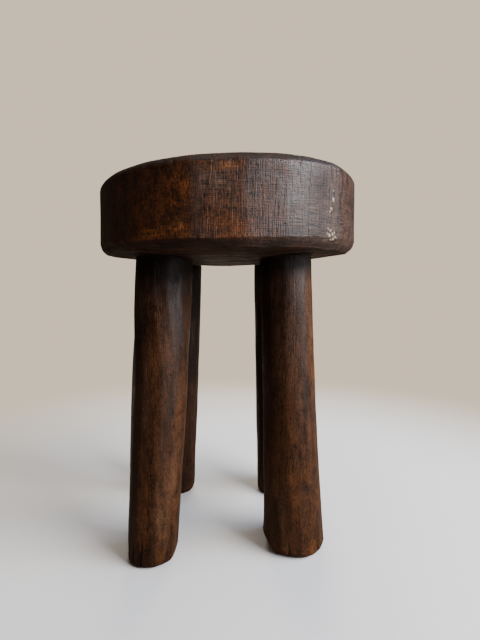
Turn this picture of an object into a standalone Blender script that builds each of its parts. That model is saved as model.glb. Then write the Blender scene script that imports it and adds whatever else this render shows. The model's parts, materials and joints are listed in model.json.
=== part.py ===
"""Wooden milking stool: a thick round seat on four splayed round legs.

The seat is one round block with a worn top edge, a small lower chamfer and a crowned underside.
Each leg is one length of round wood. Its head is let a little way into the underside, and from its
shoulder a round tenon runs right through the seat. A wedge driven into a sawn kerf spreads each
tenon from above, and the tenons and wedges are then trimmed flush with the seat.

Units are metres. +Z is up, -Y is the front and +X the right. The origin is on the floor under the
middle of the seat.
"""
import math

import bmesh
import bpy
from mathutils import Matrix

# Seat. It is hewn a little out of true: its top and its underside rise to the right by different slopes.
RIM_BASE = 0.2373  # floor to the lower edge of the rim, at the middle
RIM_DEPTH = 0.0620  # from there up to the plane of the top
SEAT_RADIUS = 0.1070  # at the foot of the rim
RIM_TAPER = 0.0008  # how much less it is at the head of the rim
TOP_SLOPE = 0.0356  # rise for each metre to the right
UNDER_SLOPE = 0.0096
EDGE_WIDTH = 0.0158  # worn top edge, measured inwards
EDGE_DROP = 0.0065  # and downwards
CHAMFER_WIDTH = 0.0051
CHAMFER_HEIGHT = 0.0058
CROWN = 0.0091  # how far the underside's middle hangs below its rim
CROWN_POWER = 1.5
SEAT_STEPS = 96
CROWN_STEPS = 6
EDGE_STEPS = 5

# Legs: centres of foot and head in plan, and the radius at the foot, half way and at the head
HEAD_HEIGHT = 0.2324
LEGS = {
    "front_left": dict(foot=(-0.0607, -0.0596), head=(-0.0496, -0.0466), radii=(0.0195, 0.0215, 0.0216)),
    "front_right": dict(foot=(0.0525, -0.0456), head=(0.0438, -0.0466), radii=(0.0247, 0.0209, 0.0198)),
    "rear_left": dict(foot=(-0.0588, 0.0555), head=(-0.0475, 0.0467), radii=(0.0219, 0.0216, 0.0205)),
    "rear_right": dict(foot=(0.0515, 0.0522), head=(0.0458, 0.0467), radii=(0.0219, 0.0215, 0.0206)),
}
FOOT_BEVEL_WIDTH = 0.0045
FOOT_BEVEL_HEIGHT = 0.0050
SHAFT_STEPS = 8
LEG_STEPS = 40

# Joints
GAP = 0.0003  # left between two pieces that touch
HOUSING_DEPTH = 0.0015  # how far the shallowest side of a head is let into the underside
TENON_RADIUS = 0.0150
KERF_DEPTH = 0.0420
WEDGE_DEPTH = 0.0380
WEDGE_TOP = 0.0050  # thickness at the seat's top
WEDGE_TIP = 0.0012
TRIM_ALLOWANCE = 0.0100  # tenons and wedges are made this much too long, then trimmed

SEAT_HEIGHT = RIM_BASE + RIM_DEPTH
RIM_RADIUS = SEAT_RADIUS - CHAMFER_WIDTH


def clear_scene():
    for item in list(bpy.data.objects):
        bpy.data.objects.remove(item, do_unlink=True)


def collection(name):
    group = bpy.data.collections.new(name)
    bpy.context.scene.collection.children.link(group)
    return group


def wood(name, colour, roughness):
    material = bpy.data.materials.new(name)
    material.use_nodes = True
    shader = material.node_tree.nodes["Principled BSDF"]
    shader.inputs["Base Color"].default_value = (*colour, 1.0)
    shader.inputs["Roughness"].default_value = roughness
    shader.inputs["Metallic"].default_value = 0.0
    return material


def turned(name, profile, steps):
    """The mesh of a body turned about Z. The profile runs down its outer side, from axis to axis."""
    outline = bpy.data.meshes.new(name + "_profile")
    points = [(radius, 0.0, height) for radius, height in profile]
    outline.from_pydata(points, [(i, i + 1) for i in range(len(points) - 1)], [])
    lathe = bpy.data.objects.new(name + "_lathe", outline)
    bpy.context.scene.collection.objects.link(lathe)
    turn = lathe.modifiers.new("Turn", "SCREW")
    turn.steps = steps
    turn.render_steps = steps
    turn.use_merge_vertices = True
    turn.merge_threshold = 0.00001
    depsgraph = bpy.context.evaluated_depsgraph_get()
    mesh = bpy.data.meshes.new_from_object(lathe.evaluated_get(depsgraph))
    mesh.name = name
    bpy.data.objects.remove(lathe, do_unlink=True)
    bpy.data.meshes.remove(outline)
    mesh.shade_smooth()
    mesh.set_sharp_from_angle(angle=math.radians(35))
    return mesh


def tapered_block(name, length, depth, top, tip):
    """The mesh of a wedge along X, from Z = 0 down to -depth, top thick at its head and tip at its end."""
    shape = bmesh.new()
    bmesh.ops.create_cube(shape, size=1.0)
    for vertex in shape.verts:
        thickness = top if vertex.co.z > 0 else tip
        vertex.co.x *= length
        vertex.co.y *= thickness
        vertex.co.z = (vertex.co.z - 0.5) * depth
    mesh = bpy.data.meshes.new(name)
    shape.to_mesh(mesh)
    shape.free()
    return mesh


def placed(name, mesh, group, location=(0.0, 0.0, 0.0)):
    item = bpy.data.objects.new(name, mesh)
    item.location = location
    group.objects.link(item)
    return item


def cutter(name, mesh, group, location=(0.0, 0.0, 0.0)):
    item = placed(name, mesh, group, location)
    item.hide_render = True
    item.display_type = "WIRE"
    return item


def boolean(item, other, operation):
    modifier = item.modifiers.new(other.name, "BOOLEAN")
    modifier.operation = operation
    modifier.object = other


def crown_drop(radius):
    """How far the underside hangs below its own rim at a radius from the seat's axis."""
    return CROWN * (1.0 - (radius / RIM_RADIUS) ** CROWN_POWER)


def seat_profile():
    """From the middle of the top, round the worn edge and the chamfer, to the middle underneath."""
    points = [(0.0, RIM_DEPTH)]
    for step in range(EDGE_STEPS + 1):
        turn = math.radians(90) * step / EDGE_STEPS
        radius = SEAT_RADIUS - RIM_TAPER - EDGE_WIDTH * (1.0 - math.sin(turn))
        points.append((radius, RIM_DEPTH - EDGE_DROP * (1.0 - math.cos(turn))))
    points.append((SEAT_RADIUS, CHAMFER_HEIGHT))
    for step in range(CROWN_STEPS + 1):
        radius = RIM_RADIUS * (1.0 - step / CROWN_STEPS)
        points.append((radius, -crown_drop(radius)))
    return points


def slope_seat(mesh):
    """Raises the right side. The slope grows evenly from the underside's to the top's."""
    for vertex in mesh.vertices:
        share = max(vertex.co.z, 0.0) / RIM_DEPTH
        vertex.co.z += vertex.co.x * (UNDER_SLOPE + share * (TOP_SLOPE - UNDER_SLOPE))


def underside_height(x, y):
    """Height of the underside above a point of the floor."""
    radius = min(math.hypot(x, y), RIM_RADIUS)
    return RIM_BASE - crown_drop(radius) + x * UNDER_SLOPE


def leg_lean(leg):
    """The leg's axis as a shear: level sections stay level, and their centres move with height."""
    lean = Matrix.Identity(4)
    lean[0][2] = (leg["head"][0] - leg["foot"][0]) / HEAD_HEIGHT
    lean[1][2] = (leg["head"][1] - leg["foot"][1]) / HEAD_HEIGHT
    return lean


def shaft_radius(leg, height):
    """Smooth through the leg's three radii."""
    foot, middle, head = leg["radii"]
    s = height / HEAD_HEIGHT
    return foot * (1 - s) * (1 - 2 * s) + middle * 4 * s * (1 - s) + head * s * (2 * s - 1)


def shoulder_height(leg):
    """High enough for the head to be let in all the way round."""
    x, y = leg["head"]
    out = 1.0 + leg["radii"][2] / math.hypot(x, y)
    return underside_height(x * out, y * out) + HOUSING_DEPTH


def leg_profile(leg):
    """From the tenon's end down the outside to the middle of the foot."""
    shoulder = shoulder_height(leg)
    end = SEAT_HEIGHT + TRIM_ALLOWANCE
    points = [(0.0, end), (TENON_RADIUS, end), (TENON_RADIUS, shoulder)]
    for step in range(SHAFT_STEPS + 1):
        height = shoulder + (FOOT_BEVEL_HEIGHT - shoulder) * step / SHAFT_STEPS
        points.append((shaft_radius(leg, height), height))
    points.append((shaft_radius(leg, 0.0) - FOOT_BEVEL_WIDTH, 0.0))
    points.append((0.0, 0.0))
    return points


def socket_profile(leg):
    """Room for the tenon and the head, a gap larger all round, running out of the seat at both ends."""
    shoulder = shoulder_height(leg)
    mouth = shoulder - 2 * CROWN
    head = shaft_radius(leg, shoulder) + GAP
    foot = shaft_radius(leg, mouth) + GAP
    bore = TENON_RADIUS + GAP
    above = SEAT_HEIGHT + TRIM_ALLOWANCE
    return [
        (0.0, above),
        (bore, above),
        (bore, shoulder + GAP),
        (head, shoulder + GAP),
        (foot, mouth),
        (0.0, mouth),
    ]


def make_seat(parts, cutters):
    block = turned("seat", seat_profile(), SEAT_STEPS)
    slope_seat(block)
    block.materials.append(wood("dark_seat_wood", (0.070, 0.034, 0.019), 0.45))
    seat = placed("seat", block, parts, (0.0, 0.0, RIM_BASE))
    for name, leg in LEGS.items():
        mesh = turned("socket_" + name, socket_profile(leg), LEG_STEPS)
        mesh.transform(leg_lean(leg))
        boolean(seat, cutter("socket_" + name, mesh, cutters, (*leg["foot"], 0.0)), "DIFFERENCE")


def make_trimmer(cutters):
    """A block whose lower face is the sloping plane of the seat's top."""
    slope = Matrix.Identity(4)
    slope[2][0] = TOP_SLOPE
    shape = bmesh.new()
    bmesh.ops.create_cube(shape, size=4 * SEAT_RADIUS)
    bmesh.ops.translate(shape, verts=shape.verts, vec=(0.0, 0.0, 2 * SEAT_RADIUS))
    bmesh.ops.transform(shape, matrix=slope, verts=shape.verts)
    mesh = bpy.data.meshes.new("trimmer")
    shape.to_mesh(mesh)
    shape.free()
    return cutter("trimmer", mesh, cutters, (0.0, 0.0, SEAT_HEIGHT))


def make_leg(name, leg, trimmer, parts, cutters, leg_wood, wedge_wood):
    """One leg with its kerf, and the wedge in the kerf. The wedge lies square to the seat's radius."""
    place = (*leg["foot"], 0.0)
    lean = leg_lean(leg)
    bearing = math.atan2(leg["head"][1], leg["head"][0])
    across = Matrix.Rotation(bearing + math.radians(90), 4, "Z")
    to_top = Matrix.Translation((0.0, 0.0, SEAT_HEIGHT + TRIM_ALLOWANCE))

    # The wedge's taper goes on up through the length that is trimmed off.
    growth = 1.0 + TRIM_ALLOWANCE / WEDGE_DEPTH
    head = WEDGE_TIP + (WEDGE_TOP - WEDGE_TIP) * growth
    width = 4 * TENON_RADIUS
    kerf_depth = KERF_DEPTH + TRIM_ALLOWANCE
    kerf_mesh = tapered_block("kerf_" + name, width, kerf_depth, head + 2 * GAP, WEDGE_TIP + 2 * GAP)
    kerf_mesh.transform(lean @ to_top @ across)
    kerf = cutter("kerf_" + name, kerf_mesh, cutters, place)

    leg_mesh = turned("leg_" + name, leg_profile(leg), LEG_STEPS)
    leg_mesh.transform(lean)
    leg_mesh.materials.append(leg_wood)
    shaft = placed("leg_" + name, leg_mesh, parts, place)
    boolean(shaft, kerf, "DIFFERENCE")
    boolean(shaft, trimmer, "DIFFERENCE")

    above = SEAT_HEIGHT + 2 * TRIM_ALLOWANCE
    below = SEAT_HEIGHT - 2 * KERF_DEPTH
    round_profile = [(0.0, above), (TENON_RADIUS, above), (TENON_RADIUS, below), (0.0, below)]
    round_mesh = turned("tenon_" + name, round_profile, LEG_STEPS)
    round_mesh.transform(lean)
    tenon = cutter("tenon_" + name, round_mesh, cutters, place)

    wedge_mesh = tapered_block("wedge_" + name, width, WEDGE_DEPTH + TRIM_ALLOWANCE, head, WEDGE_TIP)
    wedge_mesh.transform(lean @ to_top @ across)
    wedge_mesh.materials.append(wedge_wood)
    wedge = placed("wedge_" + name, wedge_mesh, parts, place)
    boolean(wedge, tenon, "INTERSECT")
    boolean(wedge, trimmer, "DIFFERENCE")


def main():
    clear_scene()
    parts = collection("milking_stool")
    cutters = collection("cutters")
    make_seat(parts, cutters)
    trimmer = make_trimmer(cutters)
    leg_wood = wood("dark_leg_wood", (0.062, 0.029, 0.016), 0.40)
    wedge_wood = wood("wedge_wood", (0.115, 0.060, 0.030), 0.55)
    for name, leg in LEGS.items():
        make_leg(name, leg, trimmer, parts, cutters, leg_wood, wedge_wood)


main()
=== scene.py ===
"""The milking stool's looks: hand-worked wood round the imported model, on a plain pale floor.

Lengths are metres and angles are radians, unless a comment says otherwise. Bearings are measured
round the stool from its front (-Y) towards its right (+X), and round a leg in the same way.
"""
import json
import math

import bmesh
import bpy
import numpy as np
from mathutils import Matrix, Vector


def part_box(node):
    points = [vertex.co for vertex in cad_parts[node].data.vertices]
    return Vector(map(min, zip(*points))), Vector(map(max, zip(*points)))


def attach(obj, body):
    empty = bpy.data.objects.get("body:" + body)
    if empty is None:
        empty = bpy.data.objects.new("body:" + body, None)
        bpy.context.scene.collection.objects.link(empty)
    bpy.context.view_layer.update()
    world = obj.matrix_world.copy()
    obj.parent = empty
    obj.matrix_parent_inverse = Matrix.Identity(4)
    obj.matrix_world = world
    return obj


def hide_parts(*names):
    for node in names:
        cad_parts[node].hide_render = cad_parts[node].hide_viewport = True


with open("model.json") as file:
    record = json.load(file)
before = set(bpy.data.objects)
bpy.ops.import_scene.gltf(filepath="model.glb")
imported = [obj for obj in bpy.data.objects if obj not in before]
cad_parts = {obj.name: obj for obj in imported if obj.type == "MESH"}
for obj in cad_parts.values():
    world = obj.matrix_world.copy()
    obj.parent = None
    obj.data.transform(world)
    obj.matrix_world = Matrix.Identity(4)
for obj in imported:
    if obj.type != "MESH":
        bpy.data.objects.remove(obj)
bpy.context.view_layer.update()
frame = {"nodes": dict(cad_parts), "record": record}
MM = 0.001

# ---- the frame's own measures
SEAT_LOW, SEAT_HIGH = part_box("seat")
RADIUS = (SEAT_HIGH.x - SEAT_LOW.x) / 2
MOUNTS = {mount["name"]: mount for mount in frame["record"]["mounts"]}
TOP_MOUNT = MOUNTS["seat_top"]
SEAT_HEIGHT = TOP_MOUNT["pos_m"][2]
TOP_SLOPE = -TOP_MOUNT["axis"][0] / TOP_MOUNT["axis"][2]
CORNERS = ("front_left", "front_right", "rear_left", "rear_right")

RIM_DEPTH = 0.0620
RIM_BASE = SEAT_HEIGHT - RIM_DEPTH
RIM_TAPER = 0.0008
UNDER_SLOPE = 0.0096
EDGE_WIDTH = 0.0115
EDGE_DROP = 0.0073
CHAMFER_WIDTH = 0.0051
CHAMFER_HEIGHT = 0.0058
CROWN = RIM_BASE - SEAT_LOW.z
CROWN_POWER = 1.5
TENON_RADIUS = 0.0150
TENON_EDGE = 0.25 * MM
SHOULDER_EDGE = 0.5 * MM
CUTTER_HEIGHTS = (0.20, 0.34)
GAP = 0.0003
WEDGE_TOP = 0.0050
WEDGE_TIP = 0.0012
WEDGE_DEPTH = 0.0380
KERF_DEPTH = 0.0420

# Flats that the drawknife left round the rim: the bearing in degrees where each begins, how flat it
# is, and how warm and how grey its wood is. The strong grey on the flats facing the right front is
# partly grey wood and partly a painted sheen.
RIM_FLATS = (
    (-176, 0.30, 0.45, 0.30),
    (-149, 0.45, 0.65, 0.20),
    (-124, 0.25, 0.30, 0.45),
    (-98, 0.15, 0.35, 0.15),
    (-74, 0.15, 0.10, 0.10),
    (-52, 0.30, 0.28, 0.00),
    (-35, 0.30, 0.55, 0.00),
    (-13.5, 0.45, 0.20, 0.15),
    (5.5, 0.35, 0.15, 0.66),
    (22, 0.40, 0.02, 0.95),
    (33, 0.35, 0.10, 0.85),
    (48.5, 0.68, 0.12, 0.60),
    (80, 0.30, 0.40, 0.35),
    (108, 0.40, 0.30, 0.50),
    (137, 0.30, 0.60, 0.25),
    (160, 0.35, 0.40, 0.35),
)


# ---- numbers
def lattice(cell, seed):
    """A fixed random number from -1 to 1 for each whole-numbered point."""
    mask = 0xFFFFFFFF
    n = (cell[..., 0] * 73856093) ^ (cell[..., 1] * 19349663) ^ (cell[..., 2] * 83492791)
    n = (n ^ (seed * 2654435761)) & mask
    n = ((n ^ (n >> 13)) * 1274126177) & mask
    n = ((n ^ (n >> 15)) * 2246822519) & mask
    return ((n >> 8) & 0xFFFF) / 32767.5 - 1.0


def noise(points, seed=0):
    """Smooth noise from -1 to 1, one lattice cell for each unit."""
    points = np.asarray(points, dtype=float)
    cell = np.floor(points).astype(np.int64)
    share = points - cell
    share = share * share * (3.0 - 2.0 * share)
    total = np.zeros(points.shape[:-1])
    for corner in np.ndindex(2, 2, 2):
        weight = np.ones(points.shape[:-1])
        for axis in range(3):
            part = share[..., axis]
            weight = weight * (part if corner[axis] else 1.0 - part)
        total += weight * lattice(cell + np.array(corner), seed)
    return total


def fractal(points, seed=0, octaves=3):
    """Octaves of noise, still from -1 to 1."""
    total = 0.0
    size = 0.0
    for octave in range(octaves):
        weight = 0.5**octave
        total = total + weight * noise(np.asarray(points) * 2.0**octave, seed + 17 * octave)
        size += weight
    return total / size


def ramp(low, high, value):
    """Climbs smoothly from 0 at low to 1 at high."""
    share = np.clip((value - low) / (high - low), 0.0, 1.0)
    return share * share * (3.0 - 2.0 * share)


def bump(value, width):
    """1 at zero, and almost nothing two widths away."""
    return np.exp(-((value / width) ** 2))


def turn_between(bearing, other):
    """The smaller angle from other to bearing, in radians."""
    return (bearing - other + math.pi) % (2 * math.pi) - math.pi


def polar(places):
    """Each point's bearing and its distance from the stool's axis."""
    return np.arctan2(places[..., 0], -places[..., 1]), np.hypot(places[..., 0], places[..., 1])


def flat_of(turns, starts):
    """Which flat each turn is on, and how far its chord lies inside a circle of radius 1."""
    widths = np.diff(np.append(starts, starts[0] + 2 * math.pi))
    turned = (turns - starts[0]) % (2 * math.pi)
    index = np.searchsorted(starts - starts[0], turned, side="right") - 1
    middle = starts[index] - starts[0] + widths[index] / 2
    return index, 1.0 - np.cos(widths[index] / 2) / np.cos(turned - middle)


def smoothed_round(values, times):
    """Evens out neighbours along the last axis, which runs once round."""
    for _ in range(times):
        values = (np.roll(values, 1, axis=-1) + 2 * values + np.roll(values, -1, axis=-1)) / 4
    return values


# ---- surfaces of the seat
def top_height(x, y):
    """The worn top: the frame's plane with a slight hollow and tool waves."""
    radius = np.hypot(x, y)
    flat = np.stack([x, y, np.zeros_like(x)], axis=-1)
    waves = 0.18 * MM * fractal(flat * 28.0, 5) + 0.05 * MM * fractal(flat * 110.0, 6)
    hollow = 0.5 * MM * (1.0 - ramp(0.0, 0.085, radius))
    return SEAT_HEIGHT + TOP_SLOPE * x + waves - hollow


def under_height(x, y):
    """The crowned underside, before its gouge marks."""
    rim = RADIUS - CHAMFER_WIDTH
    radius = np.minimum(np.hypot(x, y), rim)
    return RIM_BASE - CROWN * (1.0 - (radius / rim) ** CROWN_POWER) + x * UNDER_SLOPE


def gouges(x, y):
    """Long shallow strokes across the underside, as depths into it."""
    along = np.stack([x * 30.0, y * 115.0 + 0.6 * np.sin(x * 60.0), np.zeros_like(x)], axis=-1)
    cross = np.stack([x * 70.0, y * 240.0, np.zeros_like(x)], axis=-1)
    return 0.9 * MM * (1.0 - np.abs(noise(along, 21))) ** 2 + 0.18 * MM * noise(cross, 22)


def rim_flat(bearing, wander=0.0):
    """Which flat of the rim a bearing is on, and how far inside the full circle it lies there."""
    share = np.array([flat[1] for flat in RIM_FLATS])
    index, inside = flat_of(bearing + wander, np.radians([flat[0] for flat in RIM_FLATS]))
    return index, RADIUS * inside * share[index]


# ---- meshes
def closed_mesh(name, rows):
    """A body from rings of points, from its top's middle down its side to its foot's middle."""
    count, around = rows.shape[:2]
    ends = [rows[:1].mean(axis=1), rows[-1:].mean(axis=1)]
    vertices = np.concatenate([rows[1:-1].reshape(-1, 3), *ends])
    rings = count - 2
    here = np.arange(rings * around).reshape(rings, around)
    ahead = np.roll(here, -1, axis=1)
    quads = np.stack([here[:-1], here[1:], ahead[1:], ahead[:-1]], axis=-1).reshape(-1, 4)
    top, foot = rings * around, rings * around + 1
    faces = quads.tolist()
    faces += [(top, int(a), int(b)) for a, b in zip(here[0], ahead[0])]
    faces += [(foot, int(b), int(a)) for a, b in zip(here[-1], ahead[-1])]
    mesh = bpy.data.meshes.new(name)
    mesh.from_pydata(vertices.tolist(), [], faces)
    mesh.update()
    return mesh


def shown(name, mesh):
    item = bpy.data.objects.new(name, mesh)
    bpy.context.scene.collection.objects.link(item)
    return item


def grid_normals(rows):
    """Outward normals of a ring grid."""
    along = np.gradient(rows, axis=0)
    around = np.roll(rows, -1, axis=1) - np.roll(rows, 1, axis=1)
    normal = np.cross(along, around)
    size = np.linalg.norm(normal, axis=-1, keepdims=True)
    return normal / np.maximum(size, 1e-12)


def vectors(items, field):
    """The named vector of every vertex or vertex normal, as the rows of an array."""
    values = np.empty(len(items) * 3, dtype=np.float32)
    items.foreach_get(field, values)
    return values.reshape(-1, 3).astype(float)


def store(mesh, layers):
    """Keeps each layer's values, held between 0 and 1, as a point attribute of the mesh."""
    for name, values in layers.items():
        layer = mesh.attributes.new(name, "FLOAT", "POINT")
        layer.data.foreach_set("value", np.clip(values, 0.0, 1.0).astype(np.float32))


def cut(item, cutters):
    """Takes each cutter out of the body for good."""
    for cutter in cutters:
        step = item.modifiers.new(cutter.name, "BOOLEAN")
        step.operation = "DIFFERENCE"
        step.solver = "MANIFOLD"
        step.object = cutter
    depsgraph = bpy.context.evaluated_depsgraph_get()
    mesh = bpy.data.meshes.new_from_object(item.evaluated_get(depsgraph))
    item.modifiers.clear()
    old = item.data
    item.data = mesh
    bpy.data.meshes.remove(old)
    for cutter in cutters:
        bpy.data.objects.remove(cutter)


# ---- legs as the frame has them
WHOLE_RING = 100


class Leg:
    """A CAD leg's axis, its radius by height, and its shoulder, read from its level sections.

    Its flatness says how far its visible shaft is cut back to flats.
    """

    def __init__(self, corner, seed):
        self.corner = corner
        self.seed = seed
        self.flatness = 0.6 if corner == "front_right" else 1.0
        places = vectors(frame["nodes"]["leg_" + corner].data.vertices, "co")
        levels = np.round(places[:, 2], 5)
        heights, centres, radii = [], [], []
        for level in np.unique(levels):
            ring = places[levels == level]
            if level < MM or len(ring) < WHOLE_RING:
                continue
            centre = (ring[:, :2].max(axis=0) + ring[:, :2].min(axis=0)) / 2
            heights.append(level)
            centres.append(centre)
            radii.append(np.hypot(*(ring[:, :2] - centre).T).max())
        self.shoulder = max(heights)
        self.axis_x = np.polyfit(heights, [centre[0] for centre in centres], 1)
        self.axis_y = np.polyfit(heights, [centre[1] for centre in centres], 1)
        self.sizes = np.polyfit(heights, radii, 2)
        head_x, head_y = self.centre(self.shoulder)
        self.bearing = math.atan2(head_x, -head_y)

    def centre(self, height):
        return np.polyval(self.axis_x, height), np.polyval(self.axis_y, height)

    def radius(self, height):
        return np.polyval(self.sizes, height)

    def lean(self):
        """Carries an upright shape round Z onto the leg's axis, level sections staying level."""
        matrix = Matrix.Identity(4)
        matrix[0][2], matrix[0][3] = self.axis_x
        matrix[1][2], matrix[1][3] = self.axis_y
        return matrix


LEGS = {corner: Leg(corner, 100 + 10 * i) for i, corner in enumerate(CORNERS)}


def socket_cutter(leg):
    """The tenon's bore and the head's housing, as one turned body on the leg's axis."""
    bore = TENON_RADIUS + GAP
    housing = leg.radius(leg.shoulder) + 2 * GAP
    step = leg.shoulder + GAP
    foot, head = CUTTER_HEIGHTS
    inner = ((0.0, head), (bore, head), (bore, step))
    profile = (*inner, (housing, step), (housing, foot), (0.0, foot))
    turns = np.linspace(0.0, 2 * math.pi, 96, endpoint=False)
    circle = np.stack([np.sin(turns), -np.cos(turns), np.zeros_like(turns)], axis=-1)
    rows = [circle * radius + np.array([0.0, 0.0, height]) for radius, height in profile]
    mesh = closed_mesh("socket_" + leg.corner, np.array(rows))
    mesh.transform(leg.lean())
    return shown("socket_" + leg.corner, mesh)


def kerf_cutter(leg):
    """The saw kerf across the tenon, tapered like its wedge."""
    shape = bmesh.new()
    bmesh.ops.create_cube(shape, size=1.0)
    spare = 0.010
    slope = (WEDGE_TOP - WEDGE_TIP) / WEDGE_DEPTH
    head = WEDGE_TOP + slope * spare + 2 * GAP
    for vertex in shape.verts:
        thickness = head if vertex.co.z > 0 else WEDGE_TIP + 2 * GAP
        vertex.co.x *= 3 * TENON_RADIUS
        vertex.co.y *= thickness
        vertex.co.z = SEAT_HEIGHT + spare + (vertex.co.z - 0.5) * (KERF_DEPTH + spare)
    mesh = bpy.data.meshes.new("kerf_" + leg.corner)
    shape.to_mesh(mesh)
    shape.free()
    mesh.transform(leg.lean() @ Matrix.Rotation(leg.bearing, 4, "Z"))
    return shown("kerf_" + leg.corner, mesh)


# ---- the seat
AROUND = 640
SEAT_ROWS = {"top": 30, "edge": 14, "side": 56, "chamfer": 10, "under": 40}
SEAT_CREASE = math.radians(26)
# Nicks lie beyond one radius, and the rim's own colours fade in between two.
NICKS = 46
NICKS_BEYOND = 0.09
RIM_BEYOND = (0.085, 0.10)
CHECKS = (
    # bearing in degrees, from radius, to radius, width and depth in mm: the top's drying cracks
    (-4, 0.012, 0.078, 0.55, 1.2),
    (74, 0.020, 0.099, 0.75, 2.0),
    (101, 0.044, 0.090, 0.50, 0.9),
    (168, 0.010, 0.104, 0.85, 2.4),
    (-162, 0.050, 0.088, 0.50, 0.9),
    (-92, 0.016, 0.095, 0.70, 1.6),
    (-74, 0.048, 0.084, 0.50, 0.9),
    (16, 0.045, 0.082, 0.50, 0.9),
)


def seat_rows(bearing):
    """Rings of the seat before its fine wear."""
    circle = np.stack([np.sin(bearing), -np.cos(bearing), np.zeros_like(bearing)], axis=-1)

    def around(degrees, spread):
        return bump(turn_between(bearing, math.radians(degrees)), spread)

    inset = smoothed_round(rim_flat(bearing)[1], 6)
    foot_radius = RADIUS + 0.2 * MM + 0.6 * MM * around(-85, 0.5) - inset
    head_radius = foot_radius - RIM_TAPER
    left = around(-78, 0.42)
    right = around(76, 0.42)
    edge_width = EDGE_WIDTH * (1.0 + 0.12 * fractal(circle * 3.1, 31) + 0.25 * left + 0.20 * right)
    edge_drop = EDGE_DROP * (1.0 + 0.10 * fractal(circle * 2.3, 32) + 0.35 * left + 0.12 * right)
    chamfer_width = CHAMFER_WIDTH * (1.0 + 0.15 * fractal(circle * 9.0, 33) + 0.20 * right)
    uneven = 1.0 + 0.17 * fractal(circle * 11.0, 34) + 0.30 * left + 0.45 * right
    chamfer_height = 1.12 * CHAMFER_HEIGHT * (uneven + 0.08 * around(31, 0.22))
    power = 1.6 + 0.2 * left + 0.4 * right

    rows = []
    for step in range(SEAT_ROWS["top"]):
        share = step / SEAT_ROWS["top"]
        rows.append(((head_radius - edge_width) * share, RIM_DEPTH))
    for step in range(SEAT_ROWS["edge"]):
        turn = math.radians(90) * step / SEAT_ROWS["edge"]
        out = math.sin(turn) ** (2.0 / power)
        down = 1.0 - math.cos(turn) ** (2.0 / power)
        rows.append((head_radius - edge_width * (1.0 - out), RIM_DEPTH - edge_drop * down))
    for step in range(SEAT_ROWS["side"]):
        share = step / SEAT_ROWS["side"]
        height = (RIM_DEPTH - edge_drop) * (1.0 - share) + chamfer_height * share
        rows.append((head_radius * (1.0 - share) + foot_radius * share, height))
    for step in range(SEAT_ROWS["chamfer"]):
        share = step / SEAT_ROWS["chamfer"]
        swell = (0.03 + 0.10 * left + 0.08 * right) * math.sin(math.pi * share)
        height = chamfer_height * (1.0 - share - swell)
        rows.append((foot_radius - chamfer_width * (share - swell), height))
    rim = foot_radius - chamfer_width
    for step in range(SEAT_ROWS["under"] + 1):
        share = 1.0 - step / SEAT_ROWS["under"]
        rows.append((rim * share, -CROWN * (1.0 - share**CROWN_POWER)))
    radius = np.array([row[0] for row in rows])
    height = np.array([row[1] + 0 * bearing for row in rows])
    first, last = SEAT_ROWS["top"] - 2, SEAT_ROWS["top"] + SEAT_ROWS["edge"] + 2
    for _ in range(2):
        for field in (radius, height):
            near = field[first - 1 : last - 1] + 2 * field[first:last] + field[first + 1 : last + 1]
            field[first:last] = near / 4
    x = radius * np.sin(bearing)
    y = -radius * np.cos(bearing)
    share = np.clip(height, 0.0, None) / RIM_DEPTH
    z = RIM_BASE + height + x * (UNDER_SLOPE + share * (TOP_SLOPE - UNDER_SLOPE))
    return np.stack([x, y, z], axis=-1)


def zones(normals):
    """How far each point belongs to the top, to the underside, and to the rim between them."""
    top = ramp(0.88, 0.97, normals[..., 2])
    under = ramp(0.45, 0.85, -normals[..., 2])
    return top, under, 1.0 - top - under


def check_depth(places):
    """Depth of the drying cracks under the top."""
    bearing, radius = polar(places)
    depth = np.zeros(radius.shape)
    for number, (degrees, inner, outer, width, deep) in enumerate(CHECKS):
        line = np.stack([radius * 90.0, radius * 0 + number * 7.3, radius * 0], axis=-1)
        path = math.radians(degrees) + 0.05 * noise(line, 41) + 0.015 * noise(line * 4, 42)
        turn = np.abs(turn_between(bearing, path))
        off = np.where(turn < 1.0, turn * radius, 1.0)
        ends = ramp(inner, inner + 0.012, radius) * (1.0 - ramp(outer - 0.012, outer, radius))
        depth = np.maximum(depth, deep * MM * ends * bump(off, width * MM * (0.5 + 0.5 * ends)))
    return depth


def rim_nicks():
    """Small bruises along the rim's two edges and here and there on its side."""
    random = np.random.default_rng(7)
    nicks = []
    for _ in range(NICKS):
        bearing = random.uniform(-math.pi, math.pi)
        height = random.choice([RIM_DEPTH - EDGE_DROP, CHAMFER_HEIGHT, random.uniform(0.01, 0.05)])
        size = random.uniform(0.8, 2.6) * MM
        nicks.append((bearing, height, size, random.uniform(0.15, 0.6) * MM))
    return nicks


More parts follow.
